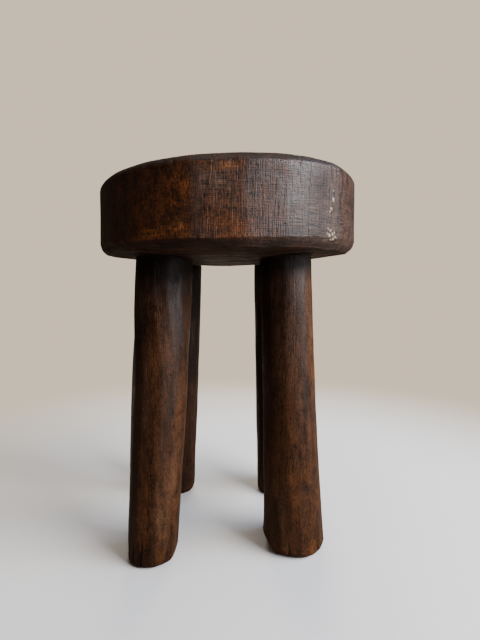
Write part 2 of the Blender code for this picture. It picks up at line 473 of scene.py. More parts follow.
def make_seat():
    bearing = np.linspace(-math.pi, math.pi, AROUND, endpoint=False)
    rows = seat_rows(bearing)
    normals = grid_normals(rows)
    top, under, side = zones(normals)
    radius = polar(rows)[1]
    height = rows[..., 2] - RIM_BASE

    push = side * 0.30 * MM * fractal(rows * 30.0, 11)
    push += side * 0.09 * MM * noise(rows * np.array([150.0, 150.0, 35.0]), 12)
    push += side * 0.05 * MM * noise(rows * np.array([420.0, 420.0, 40.0]), 13)
    push -= under * gouges(rows[..., 0], rows[..., 1])
    for nick_bearing, nick_height, size, depth in rim_nicks():
        away = turn_between(bearing, nick_bearing)[None, :] * radius
        push -= depth * bump(np.hypot(away, height - nick_height), size) * (radius > NICKS_BEYOND)
    rows = rows + normals * push[..., None]
    sunk = top * (top_height(rows[..., 0], rows[..., 1]) - SEAT_HEIGHT - TOP_SLOPE * rows[..., 0])
    rows[..., 2] += sunk - check_depth(rows) * (top > 0.02)

    seat = shown("worn_seat", closed_mesh("worn_seat", rows))
    cut(seat, [socket_cutter(leg) for leg in LEGS.values()])
    mesh = seat.data
    mesh.shade_smooth()
    mesh.set_sharp_from_angle(angle=SEAT_CREASE)
    colour_seat(mesh)
    mesh.materials.clear()
    mesh.materials.append(seat_wood())
    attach(seat, "root")
    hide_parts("seat")


SEAT_PATCHES = (
    # layer, bearing and spread in degrees, height over the rim's base and spread in mm, strength
    ("wear", -25, 12, 8.2, 1.6, 0.7),
    ("wear", -30, 5, 12.0, 2.0, 0.5),
    ("wear", -18, 5, 13.0, 3.0, 0.6),
    ("wear", 2, 5, 7.4, 2.0, 0.4),
    ("wear", -3, 7, 51.0, 2.4, 0.6),
    ("wear", -17, 3, 46.0, 9.0, 0.3),
    ("wear", 128, 16, 7.0, 2.4, 0.9),
    ("wear", 163, 9, 50.0, 3.0, 0.7),
    ("wear", -118, 13, 7.0, 2.4, 0.8),
    ("wear", -150, 9, 51.0, 3.0, 0.7),
    ("warm", -17, 5, 44.0, 12.0, 0.6),
    ("warm", -3, 7, 20.0, 12.0, 0.7),
    ("warm", 4, 5, 12.0, 10.0, 0.4),
    ("warm", 62, 2.5, 30.0, 22.0, 0.25),
    ("warm", -135, 12, 30.0, 20.0, 0.5),
    ("warm", 150, 10, 25.0, 16.0, 0.5),
    ("warm", -19, 5, 28.0, 12.0, 0.5),
    ("pale", -2, 4, 35.0, 13.0, 0.65),
    ("pale", -17, 3, 21.0, 8.0, 0.30),
    ("grey", -11, 3, 28.0, 24.0, 0.8),
    ("grey", -5, 7, 42.0, 7.0, 0.8),
    ("grey", -8, 4, 14.0, 7.0, 0.5),
    ("grey", -2, 4.5, 35.0, 14.0, 0.6),
    ("dirt_and_shade", -11, 2.5, 22.0, 26.0, 0.22),
    ("dirt_and_shade", -14, 4, 49.0, 6.0, 0.60),
    ("dirt_and_shade", -22, 9, 54.0, 4.0, 0.40),
    ("dirt_and_shade", -9, 8, 9.5, 4.0, 0.55),
    ("dirt_and_shade", 28, 10, 11.0, 7.0, 0.28),
    ("dirt_and_shade", 38, 4.5, 36.0, 30.0, 0.46),
    ("dirt_and_shade", 25, 8, 40.0, 26.0, 0.12),
    ("dirt_and_shade", 32, 18, 2.0, 4.0, 0.30),
    ("dirt_and_shade", -29, 8, 50.0, 6.0, 0.25),
    ("dirt_and_shade", -44, 7, 16.0, 12.0, 0.20),
    ("polish", 25, 6, 36.0, 22.0, 0.9),
    ("polish", 30, 12, 54.0, 5.0, 1.2),
    ("polish", -150, 14, 52.0, 5.0, 0.8),
    ("polish", 160, 10, 36.0, 18.0, 0.6),
)
LEG_PATCHES = {
    # layer, bearing round the leg and spread in degrees, height and spread in mm, strength
    "front_left": (
        ("warm", 62, 12, 140, 34, 0.9),
        ("warm", 48, 9, 105, 22, 0.7),
        ("warm", -2, 9, 120, 55, 0.4),
        ("warm", -8, 10, 60, 30, 0.4),
        ("warm", 20, 10, 12, 9, 0.8),
        ("pale", 26, 18, 46, 24, 0.65),
        ("pale", 50, 10, 78, 30, 0.5),
        # painted sheen: grey high on the leg's right-front side
        ("grey", 30, 22, 195, 30, 0.5),
        ("grey", 36, 12, 122, 16, 0.9),
        ("grey", 22, 14, 90, 16, 0.6),
        # painted shade: the top of the leg under the seat
        ("dirt_and_shade", 20, 70, 226, 24, 1.0),
        ("dirt_and_shade", 8, 18, 12, 7, 0.5),
        ("dirt_and_shade", 50, 40, 150, 60, 0.25),
        ("dirt_and_shade", 8, 26, 120, 40, 0.30),
        ("dirt_and_shade", -6, 7, 100, 28, 0.5),
        ("dirt_and_shade", 8, 6, 20, 10, 0.6),
        ("dirt_and_shade", 30, 5, 133, 16, 0.5),
        ("dirt_and_shade", 22, 4, 108, 9, 0.6),
        ("dirt_and_shade", 40, 5, 92, 6, 0.5),
        ("dirt_and_shade", -14, 4, 66, 16, 0.5),
        ("dirt_and_shade", 26, 12, 16, 4, 0.5),
        ("dirt_and_shade", -20, 10, 10, 5, 0.5),
    ),
    "front_right": (
        ("warm", -12, 14, 90, 48, 0.6),
        ("warm", -4, 8, 50, 30, 0.5),
        ("warm", 30, 9, 4, 4, 0.9),
        ("warm", 62, 18, 150, 60, 0.7),
        ("warm", -60, 40, 45, 40, 0.6),
        ("warm", 25, 25, 85, 55, 0.5),
        ("pale", -45, 25, 45, 40, 1.0),
        ("pale", 50, 18, 195, 28, 0.5),
        ("pale", 38, 22, 120, 30, 0.35),
        # painted sheen: grey at the top of the leg's right-front side
        ("grey", 34, 16, 215, 20, 0.7),
        ("grey", 40, 12, 165, 26, 0.3),
        # painted shade: the top of the leg under the seat
        ("dirt_and_shade", 30, 90, 235, 7, 0.85),
        ("dirt_and_shade", 27, 4, 143, 18, 0.7),
        ("dirt_and_shade", 38, 5, 170, 14, 0.4),
        ("dirt_and_shade", 14, 7, 104, 4, 0.8),
        ("dirt_and_shade", 12, 6, 81, 5, 0.6),
        ("dirt_and_shade", 22, 8, 57, 4, 0.8),
        ("dirt_and_shade", 30, 3, 190, 5, 0.7),
        ("dirt_and_shade", 22, 4, 128, 3, 0.8),
        ("dirt_and_shade", 34, 2.5, 118, 9, 0.6),
        ("dirt_and_shade", 44, 3, 96, 8, 0.5),
        ("dirt_and_shade", 6, 3, 132, 7, 0.5),
        # painted shade: high on the leg's front-left, under the seat
        ("dirt_and_shade", -20, 40, 210, 30, 0.5),
    ),
    "rear_left": (
        ("warm", 170, 16, 120, 50, 0.7),
        ("pale", -160, 16, 60, 24, 0.7),
        ("grey", 150, 16, 190, 30, 0.9),
        # painted shadow: this patch and the next darken the leg's inner side
        ("dirt_and_shade", 60, 70, 190, 80, 1.4),
        ("dirt_and_shade", 60, 70, 70, 60, 0.45),
        ("dirt_and_shade", 178, 5, 90, 14, 0.6),
    ),
    "rear_right": (
        ("warm", 160, 18, 90, 50, 0.7),
        ("warm", -140, 10, 140, 30, 0.7),
        ("pale", 130, 16, 60, 24, 0.6),
        ("grey", 175, 16, 180, 30, 0.9),
        # painted shadow on the leg's inner side
        ("dirt_and_shade", -60, 55, 150, 110, 0.6),
        ("dirt_and_shade", 150, 5, 130, 14, 0.6),
    ),
}


def patches(table, layer, turns, heights):
    """The strength of one layer's listed patches."""
    total = np.zeros(np.shape(turns))
    for name, turn, spread, height, tall, strength in table:
        if name == layer:
            away = turn_between(turns, math.radians(turn)) / math.radians(spread)
            total += strength * np.exp(-(away**2) - ((heights - height * MM) / (tall * MM)) ** 2)
    return total


CHIPS = (
    # bearing in degrees, height over the rim's base and radius in mm: flakes down to pale filler
    (43.6, 34.0, 1.2),
    (43.9, 33.0, 0.9),
    (42.4, 27.5, 1.0),
    (41.8, 25.5, 0.5),
    (44.0, 39.5, 0.4),
    (40.6, 14.0, 0.7),
    (42.0, 13.0, 0.9),
    (43.3, 11.0, 1.2),
    (41.2, 9.8, 1.1),
    (44.6, 12.0, 0.8),
    (43.8, 7.8, 1.0),
    (45.2, 9.0, 0.8),
    (40.0, 11.0, 0.6),
    (42.3, 7.0, 0.6),
)


def colour_seat(mesh):
    """Where the seat is warm, grey, worn, dirty, glossy, chipped or painted with shade and sheen,
    for its material to read.
    """
    places = vectors(mesh.vertices, "co")
    normals = vectors(mesh.vertex_normals, "vector")
    top, under, side = zones(normals)
    bearing, radius = polar(places)
    height = places[:, 2] - RIM_BASE
    height = height - places[:, 0] * TOP_SLOPE * np.clip(height, 0, 1) / RIM_DEPTH
    wander = 0.035 * noise(np.stack([places[:, 2] * 60, bearing * 2, bearing * 0], axis=-1), 51)
    index, _ = rim_flat(bearing, wander)
    warmth = np.array([flat[2] for flat in RIM_FLATS])[index]
    greyness = np.array([flat[3] for flat in RIM_FLATS])[index]
    mottle = fractal(places * 45.0, 52, 4)

    outer = ramp(*RIM_BEYOND, radius)
    ragged = fractal(places * np.array([90.0, 90.0, 160.0]), 53)
    placed = {
        layer: outer * patches(SEAT_PATCHES, layer, bearing, height) * ramp(-0.9, 0.5, ragged)
        for layer in ("wear", "warm", "grey", "pale", "polish", "dirt_and_shade")
    }
    upper_edge = outer * bump(height - (RIM_DEPTH - EDGE_DROP), 1.6 * MM)
    lower_edge = outer * bump(height - CHAMFER_HEIGHT - 0.8 * MM, 1.4 * MM)
    faint_wear = np.maximum(0.45 * upper_edge, 0.45 * lower_edge)
    faint_wear = faint_wear * ramp(0.0, 0.7, fractal(places * 60.0, 56))
    chips = np.zeros(len(places))
    ragged = 1.0 + 0.5 * fractal(places * 900.0, 54)
    for degrees, level, size in CHIPS:
        away = np.hypot(turn_between(bearing, math.radians(degrees)) * RADIUS, height - level * MM)
        chips = np.maximum(chips, outer * (1.0 - ramp(0.7, 1.1, away / (size * MM * ragged))))

    # Grey wood; on the flats facing the right front its strength is partly a painted sheen.
    grey = side * (greyness + 0.30 * fractal(places * 70.0, 55)) + placed["grey"]
    sat_on = 0.7 * top * ramp(-0.4, 0.4, mottle) * (1.0 - ramp(0.05, 0.10, radius))
    # Painted shade: the rim's upward-facing top edge is darkened.
    bevel = outer * ramp(0.15, 0.45, normals[:, 2]) * (0.52 - 0.15 * mottle)
    cracks = 1.6 * top * np.minimum(check_depth(places) / MM, 1.0)
    # Painted shade: a dark ring on the underside just inside the chamfer.
    lip_shade = bump(radius - 0.089, 0.014) * under
    # Painted shade: a mask of the chamfer, darkened in the layers below.
    chamfer = 1.0 - ramp(CHAMFER_HEIGHT - 1.2 * MM, CHAMFER_HEIGHT - 0.2 * MM, height)
    # Darkening: blotches on the underside, the top's cracks, and the painted shade of the top edge
    # and the inner ring.
    grime_and_shade = 0.6 * under * ramp(-0.2, 0.5, mottle) + 0.7 * lip_shade + bevel + cracks
    layers = {
        "end_grain": top,
        "under": under,
        "warm": side * (warmth * (1.0 + 0.9 * mottle)) + placed["warm"],
        "grey": grey - 0.8 * placed["warm"],
        "pale": placed["pale"],
        "wear": faint_wear + placed["wear"],
        "polish": 0.5 * upper_edge + placed["polish"] + sat_on,
        # Darkening by dirt and by painted shade: the patches, and the painted shade of the chamfer.
        "dirt_and_shade": grime_and_shade + placed["dirt_and_shade"] + 0.45 * chamfer * outer,
        "chip": chips,
    }
    store(mesh, layers)


# ---- legs
LEG_AROUND = 168
END_STEPS = 14
TENON_STEPS = 24
SHAFT_STEPS = 190
FOOT_STEPS = 14
SOLE_STEPS = 9
FILLET = 1.6 * MM
FILLET_STEPS = 8
LEG_CREASE = math.radians(50)
FOOT_CHECKS = 7
BRUISES = 9
SWELLS = {
    # laid out like LEG_PATCHES: where a leg stands proud
    "front_left": (("out", 72, 36, 120, 48, 1.0), ("out", -85, 36, 22, 16, 0.5)),
}


def leg_flats(leg, turns, heights):
    """How far a shaved shaft lies inside its round, on long flats that wander as they climb."""
    random = np.random.default_rng(leg.seed)
    count = int(random.integers(9, 12))
    starts = np.arange(count) + random.uniform(-0.28, 0.28, count)
    starts = np.sort(starts * 2 * math.pi / count)
    shares = random.uniform(0.3, 0.9, count) * leg.flatness
    line = np.stack([heights * 14.0, turns * 0 + leg.seed, turns * 0], axis=-1)
    index, inside = flat_of(turns + 0.30 * noise(line, leg.seed), starts)
    return leg.radius(heights) * inside * shares[index]


def foot_shape(leg, turns):
    """The knife-cut bevel round the foot: how wide and how high it is at each turn."""
    random = np.random.default_rng(leg.seed + 1)
    circle = np.stack([np.sin(turns) * 1.3, np.cos(turns) * 1.3, turns * 0 + leg.seed], axis=-1)
    rough = fractal(circle * 1.7, leg.seed + 2)
    wide = 4.5 * MM * (1.0 + 0.45 * rough)
    high = 5.0 * MM * (1.0 + 0.60 * rough)
    if leg.corner == "front_right":
        heel = bump(turn_between(turns, math.radians(-75)), 0.75)
        wide = wide + 4.0 * MM * heel
        high = high + 9.0 * MM * heel
    if leg.corner == "front_left":
        heel = bump(turn_between(turns, math.radians(70)), 0.6)
        wide = wide + 1.5 * MM * heel
        high = high + 5.0 * MM * heel
        wide = wide - 1.2 * MM * bump(turn_between(turns, math.radians(-80)), 0.6)
    return wide, high + 0.3 * MM * random.standard_normal(1)


def make_leg(leg):
    turns = np.linspace(-math.pi, math.pi, LEG_AROUND, endpoint=False)
    wide, high = foot_shape(leg, turns)
    rows = []

    def ring(radius, height):
        height = height + 0 * turns
        x, y = leg.centre(height)
        across = [x + radius * np.sin(turns), y - radius * np.cos(turns)]
        rows.append(np.stack([*across, height], axis=-1))

    # The tenon, from the middle of its end down to the shoulder.
    for share in np.linspace(0.0, 1.0, END_STEPS):
        ring(share * (TENON_RADIUS - TENON_EDGE), SEAT_HEIGHT)
    tenon_top = len(rows)
    ring(TENON_RADIUS, SEAT_HEIGHT - TENON_EDGE)
    for share in np.linspace(0.02, 1.0, TENON_STEPS):
        ring(TENON_RADIUS, SEAT_HEIGHT * (1.0 - share) + leg.shoulder * share)
    head = leg.radius(leg.shoulder)
    ring(head - SHOULDER_EDGE, leg.shoulder)
    first_side = len(rows)
    ring(head, leg.shoulder - SHOULDER_EDGE)

    # The shaft, which meets the underside in a small fillet.
    x, y = leg.centre(leg.shoulder)
    under = under_height(x + head * np.sin(turns), y - head * np.cos(turns))
    ring(leg.radius(under), under + 0.8 * MM)
    for step in range(FILLET_STEPS):
        drop = FILLET * step / FILLET_STEPS
        swell = FILLET - math.sqrt(max(FILLET**2 - (FILLET - drop) ** 2, 0.0))
        ring(leg.radius(under - drop) + swell, under + (0.6 * MM if step == 0 else 0.0) - drop)
    for step in range(SHAFT_STEPS + 1):
        share = step / SHAFT_STEPS
        height = (under - FILLET) * (1.0 - share) + high * share
        ring(leg.radius(height), height)
    last_side = len(rows)

    # The bevel and the flat of the foot.
    for step in range(1, FOOT_STEPS + 1):
        turn = math.radians(90) * step / FOOT_STEPS
        ring(leg.radius(0.0) - wide * (1.0 - math.cos(turn)), high * (1.0 - math.sin(turn)))
    for share in np.linspace(0.9, 0.0, SOLE_STEPS):
        ring((leg.radius(0.0) - wide) * share, 0.0)

    rows = np.array(rows)
    normals = grid_normals(rows)
    grid_turns = np.broadcast_to(turns, rows.shape[:2])
    heights = rows[..., 2]
    index = np.arange(len(rows))[:, None]
    shaft = (index >= first_side) & (index <= last_side + FOOT_STEPS)
    fade = 1.0 - ramp(-5.0 * MM, -1.0 * MM, heights - under[None, :])
    fade = ramp(0.0, 6.0 * MM, heights) * fade
    flats = smoothed_round(leg_flats(leg, grid_turns, heights), 3)
    swells = patches(SWELLS.get(leg.corner, ()), "out", grid_turns, heights)
    offset = np.array([0.0, 0.0, leg.seed])
    push = 0.45 * MM - flats + 1.4 * MM * swells
    push = push + 0.32 * MM * fractal(rows * np.array([60.0, 60.0, 24.0]) + offset, 61)
    push = push + 0.16 * MM * noise(rows * np.array([200.0, 200.0, 60.0]) + offset, 62)
    push = push + 0.045 * MM * noise(rows * np.array([520.0, 520.0, 60.0]) + offset, 63)
    push = push * shaft * fade
    push = push - leg_marks(leg, grid_turns, heights) * shaft
    rows = rows + normals * push[..., None]
    ends = index < tenon_top + 1
    rise = top_height(rows[..., 0], rows[..., 1]) - SEAT_HEIGHT + 0.15 * MM
    rows[..., 2] += np.where(ends, rise, 0.0)
    tenon_side = (index >= tenon_top + 1) & (index < first_side - 1)
    share = np.clip((heights - leg.shoulder) / (SEAT_HEIGHT - leg.shoulder), 0.0, 1.0)
    rows[..., 2] += np.where(tenon_side, share * TOP_SLOPE * rows[..., 0], 0.0)
    rows[..., 2] = np.maximum(rows[..., 2], 0.0)

    item = shown("worn_leg_" + leg.corner, closed_mesh("worn_leg_" + leg.corner, rows))
    cut(item, [kerf_cutter(leg)])
    mesh = item.data
    mesh.shade_smooth()
    mesh.set_sharp_from_angle(angle=LEG_CREASE)
    colour_leg(mesh, leg)
    mesh.materials.clear()
    mesh.materials.append(leg_wood(leg))
    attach(item, "root")
    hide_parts("leg_" + leg.corner)


def leg_marks(leg, turns, heights):
    """Checks that climb from the foot, and a few bruises, as depths."""
    random = np.random.default_rng(leg.seed + 5)
    radius = leg.radius(heights)
    depth = np.zeros(turns.shape)
    for _ in range(FOOT_CHECKS):
        at = random.uniform(-math.pi, math.pi)
        length = random.uniform(0.012, 0.045)
        width = random.uniform(0.25, 0.45) * MM
        line = np.stack([heights * 110.0, turns * 0 + at * 9, turns * 0], axis=-1)
        off = np.abs(turn_between(turns, at + 0.06 * noise(line, leg.seed))) * radius
        deep = random.uniform(0.5, 1.2) * MM
        depth += deep * bump(off, width) * (1.0 - ramp(0.5 * length, length, heights))
    for _ in range(BRUISES):
        at = random.uniform(-math.pi, math.pi)
        level = random.uniform(0.015, 0.21)
        size = random.uniform(0.8, 1.8) * MM
        tall = size * random.uniform(1.0, 4.0)
        off = turn_between(turns, at) * radius
        bruise = np.exp(-((off / size) ** 2) - ((heights - level) / tall) ** 2)
        depth += random.uniform(0.12, 0.35) * MM * bruise
    return depth


def colour_leg(mesh, leg):
    """Where the leg is warm, grey, worn, dirty or painted with shade and sheen, for its material to
    read.
    """
    places = vectors(mesh.vertices, "co")
    normals = vectors(mesh.vertex_normals, "vector")
    height = places[:, 2]
    offset = np.array([0.0, 0.0, leg.seed])
    x, y = leg.centre(height)
    turns = np.arctan2(places[:, 0] - x, -(places[:, 1] - y))
    up = ramp(0.6, 0.9, np.abs(normals[:, 2]))
    streak = fractal(places * np.array([110.0, 110.0, 11.0]) + offset, 71, 4)
    mottle = fractal(places * np.array([60.0, 60.0, 30.0]) + offset, 72, 3)
    ragged = ramp(-1.0, 0.5, fractal(places * np.array([170.0, 170.0, 30.0]) + offset, 74))
    placed = {
        layer: ragged * patches(LEG_PATCHES[leg.corner], layer, turns, height)
        for layer in ("warm", "grey", "pale", "dirt_and_shade")
    }
    low = 1.0 - ramp(0.02, 0.19, height)
    foot = 1.0 - ramp(0.001, 0.009, height)
    on_leg = height < leg.shoulder + MM
    # Painted shade: darker towards the seat over the top 26 mm of the leg.
    crevice_shade = ramp(-0.026, 0.000, height - under_height(places[:, 0], places[:, 1]))
    marks = np.clip(leg_marks(leg, turns, height) / (0.7 * MM), 0.0, 1.0)
    grey = 0.30 - 0.30 * low + 0.7 * mottle + placed["grey"] - placed["warm"] - placed["pale"]
    layers = {
        "end_grain": up * (height > leg.shoulder + MM),
        "under": up * (height < MM),
        "warm": 0.14 + 0.30 * low + 0.45 * streak + 0.45 * mottle + placed["warm"],
        "grey": np.clip(grey, 0.0, 1.0) * ramp(0.0, 0.04, height),
        "pale": placed["pale"],
        "wear": foot * ramp(0.1, 0.7, fractal(places * 160.0 + offset, 73)),
        "polish": 0.25 + 0.6 * mottle,
        # Darkening by dirt, checks and bruises, and by painted shade under the seat and on some
        # patches.
        "dirt_and_shade": (crevice_shade + placed["dirt_and_shade"] + 0.7 * marks) * on_leg,
        "chip": np.zeros(len(places)),
    }
    store(mesh, layers)


# ---- wood
PORES = 0.5
ROUGHNESS = 0.50


class Nodes:
    """Short calls for a material's nodes. Anything that takes a socket also takes a plain value."""

    def __init__(self, name):
        self.material = bpy.data.materials.new(name)
        self.material.use_nodes = True
        self.tree = self.material.node_tree
        self.shader = self.tree.nodes["Principled BSDF"]

    def put(self, node, key, value):
        if isinstance(value, bpy.types.NodeSocket):
            self.tree.links.new(value, node.inputs[key])
        else:
            node.inputs[key].default_value = value

    def place(self, scale, shift=(0.0, 0.0, 0.0)):
        where = self.tree.nodes.new("ShaderNodeTexCoord")
        mapping = self.tree.nodes.new("ShaderNodeMapping")
        self.put(mapping, "Vector", where.outputs["Object"])
        self.put(mapping, "Scale", scale)
        self.put(mapping, "Location", shift)
        return mapping.outputs["Vector"]

    def noise(self, scale, shift=(0.0, 0.0, 0.0), detail=2.0, rough=0.5, twist=0.0):
        """Noise with its own scale on each axis, in features to the metre."""
        node = self.tree.nodes.new("ShaderNodeTexNoise")
        self.put(node, "Vector", self.place(scale, shift))
        self.put(node, "Scale", 1.0)
        self.put(node, "Detail", detail)
        self.put(node, "Roughness", rough)
        self.put(node, "Distortion", twist)
        return node.outputs["Fac"]

    def rings(self, spacing, shift, twist):
        node = self.tree.nodes.new("ShaderNodeTexWave")
        node.wave_type = "RINGS"
        node.rings_direction = "Z"
        self.put(node, "Vector", self.place((1.0, 1.0, 0.0), shift))
        self.put(node, "Scale", 0.314 / spacing)
        self.put(node, "Distortion", twist)
        self.put(node, "Detail", 3.0)
        self.put(node, "Detail Scale", 0.25)
        return node.outputs["Fac"]

    def layer(self, name):
        node = self.tree.nodes.new("ShaderNodeAttribute")
        node.attribute_name = name
        return node.outputs["Fac"]

    def sum(self, operation, a, b=0.0, c=0.0):
        node = self.tree.nodes.new("ShaderNodeMath")
        node.operation = operation
        for key, value in enumerate((a, b, c)):
            self.put(node, key, value)
        return node.outputs[0]

    def times(self, a, b):
        return self.sum("MULTIPLY", a, b)

    def step(self, value, low, high, start=0.0, end=1.0):
        node = self.tree.nodes.new("ShaderNodeMapRange")
        node.interpolation_type = "SMOOTHSTEP"
        self.put(node, "Value", value)
        self.put(node, "From Min", low)
        self.put(node, "From Max", high)
        self.put(node, "To Min", start)
        self.put(node, "To Max", end)
        return node.outputs["Result"]

    def mix_value(self, share, a, b):
        """From a at share 0 to b at share 1."""
        kept = self.times(self.sum("SUBTRACT", 1.0, share), a)
        return self.sum("ADD", kept, self.times(share, b))

    def mix(self, share, a, b, blend="MIX"):
        node = self.tree.nodes.new("ShaderNodeMix")
        node.data_type = "RGBA"
        node.blend_type = blend
        node.clamp_factor = True
        for key, value in ((0, share), (6, a), (7, b)):
            if isinstance(value, tuple):
                value = (*value, 1.0)
            self.put(node, key, value)
        return node.outputs[2]

    def bump(self, height, distance):
        node = self.tree.nodes.new("ShaderNodeBump")
        self.put(node, "Height", height)
        self.put(node, "Distance", distance)
        self.put(node, "Strength", 1.0)
        return node.outputs["Normal"]


def end_grain(n, pith, spacing):
    """The colour and the relief of a sawn end: rings round the pith, pores and stains."""
    shift = (-pith[0], -pith[1], 0.0)
    rings = n.rings(spacing, shift, 6.0)
    pores = n.noise((1300.0, 1300.0, 60.0), detail=2.0)
    cloud = n.noise((40.0, 40.0, 40.0), detail=4.0, rough=0.6)
    stain = n.noise((24.0, 24.0, 24.0), (5.0, 2.0, 1.0), detail=5.0, rough=0.65)
    shown_rings = n.times(n.step(rings, 0.1, 0.95), n.step(stain, 0.36, 0.58, 0.35, 1.0))
    colour = n.mix(shown_rings, (0.019, 0.0085, 0.0048), (0.060, 0.026, 0.012))
    colour = n.mix(n.step(cloud, 0.42, 0.72, 0.0, 0.6), colour, (0.080, 0.040, 0.022))
    colour = n.mix(n.step(stain, 0.50, 0.66, 0.0, 0.7), colour, (0.016, 0.0075, 0.0045))
    colour = n.mix(n.step(pores, 0.55, 0.72), colour, (0.010, 0.005, 0.003))
    relief = n.sum("ADD", n.times(rings, 0.25), n.times(pores, -0.6))
    return colour, relief


def scaled(n, colour, share):
    """The colour, lighter or darker by a share that varies over the surface."""
    shade = n.tree.nodes.new("ShaderNodeCombineColor")
    for key in range(3):
        n.put(shade, key, share)
    return n.mix(1.0, colour, shade.outputs["Color"], "MULTIPLY")


def old_wood(name, shift, look):
    """Dark oiled wood, its fibres upright, with a sawn end where the mesh says so."""
    n = Nodes(name)
    threads, tools, height = look["threads"], look["tools"], look["relief"]
    fibre = n.noise((1450.0, 1450.0, 60.0), shift, detail=1.5, rough=0.5, twist=0.15)
    streak = n.noise((190.0, 190.0, 14.0), shift, detail=3.0, rough=0.6, twist=0.6)
    scrape = n.noise((95.0, 95.0, 1400.0), shift, detail=1.5, rough=0.5, twist=0.15)
    worked = n.noise((38.0, 38.0, 30.0), shift, detail=2.0)
    strokes = n.noise((34.0, 210.0, 210.0), shift, detail=2.0)
    contour = n.noise((75.0, 75.0, 7.0), shift, detail=3.5, rough=0.55, twist=0.3)
    grit = n.noise((700.0, 700.0, 480.0), shift, detail=3.0, rough=0.65)
    pores = n.noise((1300.0, 1300.0, 170.0), shift, detail=1.0)
    cloud = n.noise((30.0, 30.0, 20.0), shift, detail=5.0, rough=0.6)
    spots = n.noise((160.0, 160.0, 110.0), shift, detail=4.0, rough=0.65)

    figure = n.mix_value(look["streaky"], cloud, streak)
    colour = n.mix(n.step(figure, 0.38, 0.62), look["dark"], look["brown"])
    # The grey layer greys the wood: grey patina, and in places a painted sheen.
    greyed = n.times(n.layer("grey"), n.step(cloud, 0.25, 0.58, 0.45, 1.0))
    colour = n.mix(n.times(greyed, 0.85), colour, look["grey"])
    blotch = n.sum("ADD", n.times(spots, 0.6), n.times(grit, 0.4))
    blotch = n.mix_value(look["streaky"], blotch, streak)
    warmed = n.times(n.layer("warm"), n.step(blotch, 0.34, 0.60))
    colour = n.mix(warmed, colour, look["warm"])
    paled = n.times(n.layer("pale"), n.step(streak, 0.30, 0.60, 0.4, 1.0))
    colour = n.mix(paled, colour, look["pale"])
    # Stronger fibre and scrape lines where grey; on the seat's lit right front, a painted sheen on
    # them.
    lined = n.sum("MULTIPLY_ADD", n.layer("grey"), 0.75, 0.45)
    combed = n.times(lined, n.step(worked, 0.38, 0.62, 0.35 * threads, 1.25 * threads))
    dragged = n.times(lined, n.step(worked, 0.40, 0.64, 1.25 * tools, 0.15 * tools))
    parts = ((fibre, combed), (scrape, dragged), (grit, look["crackle"]), (spots, look["mottle"]))
    weave = 1.0
    for part, strength in parts:
        weave = n.sum("MULTIPLY_ADD", n.sum("SUBTRACT", part, 0.5), strength, weave)
    weave = n.sum("MULTIPLY_ADD", n.step(pores, 0.58, 0.72), -PORES, weave)
    crack = n.step(n.sum("ABSOLUTE", n.sum("SUBTRACT", contour, 0.5)), 0.002, 0.016, 1.0, 0.0)
    crack = n.times(crack, n.step(spots, 0.42, 0.62))
    weave = n.sum("MULTIPLY_ADD", crack, -look["cracks"], weave)
    colour = scaled(n, colour, n.sum("MAXIMUM", weave, 0.18))
    glints = n.times(n.layer("wear"), n.step(grit, 0.42, 0.62, 0.1, 1.0))
    colour = n.mix(glints, colour, look["bright"])
    # Darkened by dirt and by painted shade.
    colour = scaled(n, colour, n.sum("SUBTRACT", 1.0, n.times(n.layer("dirt_and_shade"), 0.85)))
    colour = n.mix(n.times(n.layer("under"), 0.8), colour, tuple(0.9 * c for c in look["brown"]))
    # The underside runs darker and lighter along the gouge strokes; the lighter streaks paint the
    # gloss the gouges catch.
    stroked = n.step(strokes, 0.36, 0.62, 0.3, 1.3)
    colour = scaled(n, colour, n.mix_value(n.layer("under"), 1.0, stroked))
    end_colour, end_relief = end_grain(n, look["pith"], look["rings"])
    colour = n.mix(n.layer("end_grain"), colour, end_colour)
    colour = n.mix(n.layer("chip"), colour, (0.42, 0.33, 0.22))
    n.put(n.shader, "Base Color", colour)

    rough = n.step(spots, 0.3, 0.7, ROUGHNESS - 0.07, ROUGHNESS + 0.09)
    for layer, rougher in (("polish", -0.24), ("chip", 0.3), ("dirt_and_shade", 0.25)):
        rough = n.sum("MULTIPLY_ADD", n.layer(layer), rougher, rough)
    n.put(n.shader, "Roughness", n.sum("MINIMUM", rough, 0.95))
    n.put(n.shader, "Specular IOR Level", look["specular"])

    parts = (
        (scrape, 0.25 * height * tools),
        (grit, 0.35 * height),
        (pores, -0.2 * height),
        (spots, look["lumps"]),
        (crack, -1.5 * look["cracks"]),
        (n.times(strokes, n.layer("under")), 5.0),
    )
    relief = n.times(fibre, 0.5 * height)
    for part, strength in parts:
        relief = n.sum("MULTIPLY_ADD", part, strength, relief)
    side = n.sum("SUBTRACT", 1.0, n.layer("end_grain"))
    relief = n.sum("ADD", n.times(relief, side), n.times(end_relief, n.layer("end_grain")))
    n.put(n.shader, "Normal", n.bump(relief, 0.35 * MM))
    return n.material


def seat_wood():
    """The seat's wood: strongly hatched by fibres and scrape lines."""
    look = {
        "dark": (0.014, 0.0055, 0.0028),
        "brown": (0.048, 0.0210, 0.0110),
        "warm": (0.115, 0.0320, 0.0075),
        "grey": (0.052, 0.0350, 0.0285),
        "pale": (0.110, 0.0600, 0.0340),
        "bright": (0.400, 0.1300, 0.0320),
        "threads": 2.9,
        "tools": 2.1,
        "mottle": 1.7,
        "crackle": 2.0,
        "streaky": 0.25,
        "specular": 0.25,
        "relief": 1.6,
        "lumps": 0.6,
        "cracks": 0.30,
        "pith": (0.012, 0.009),
        "rings": 3.2 * MM,
    }
    return old_wood("seat_wood", (3.0, 1.0, 2.0), look)


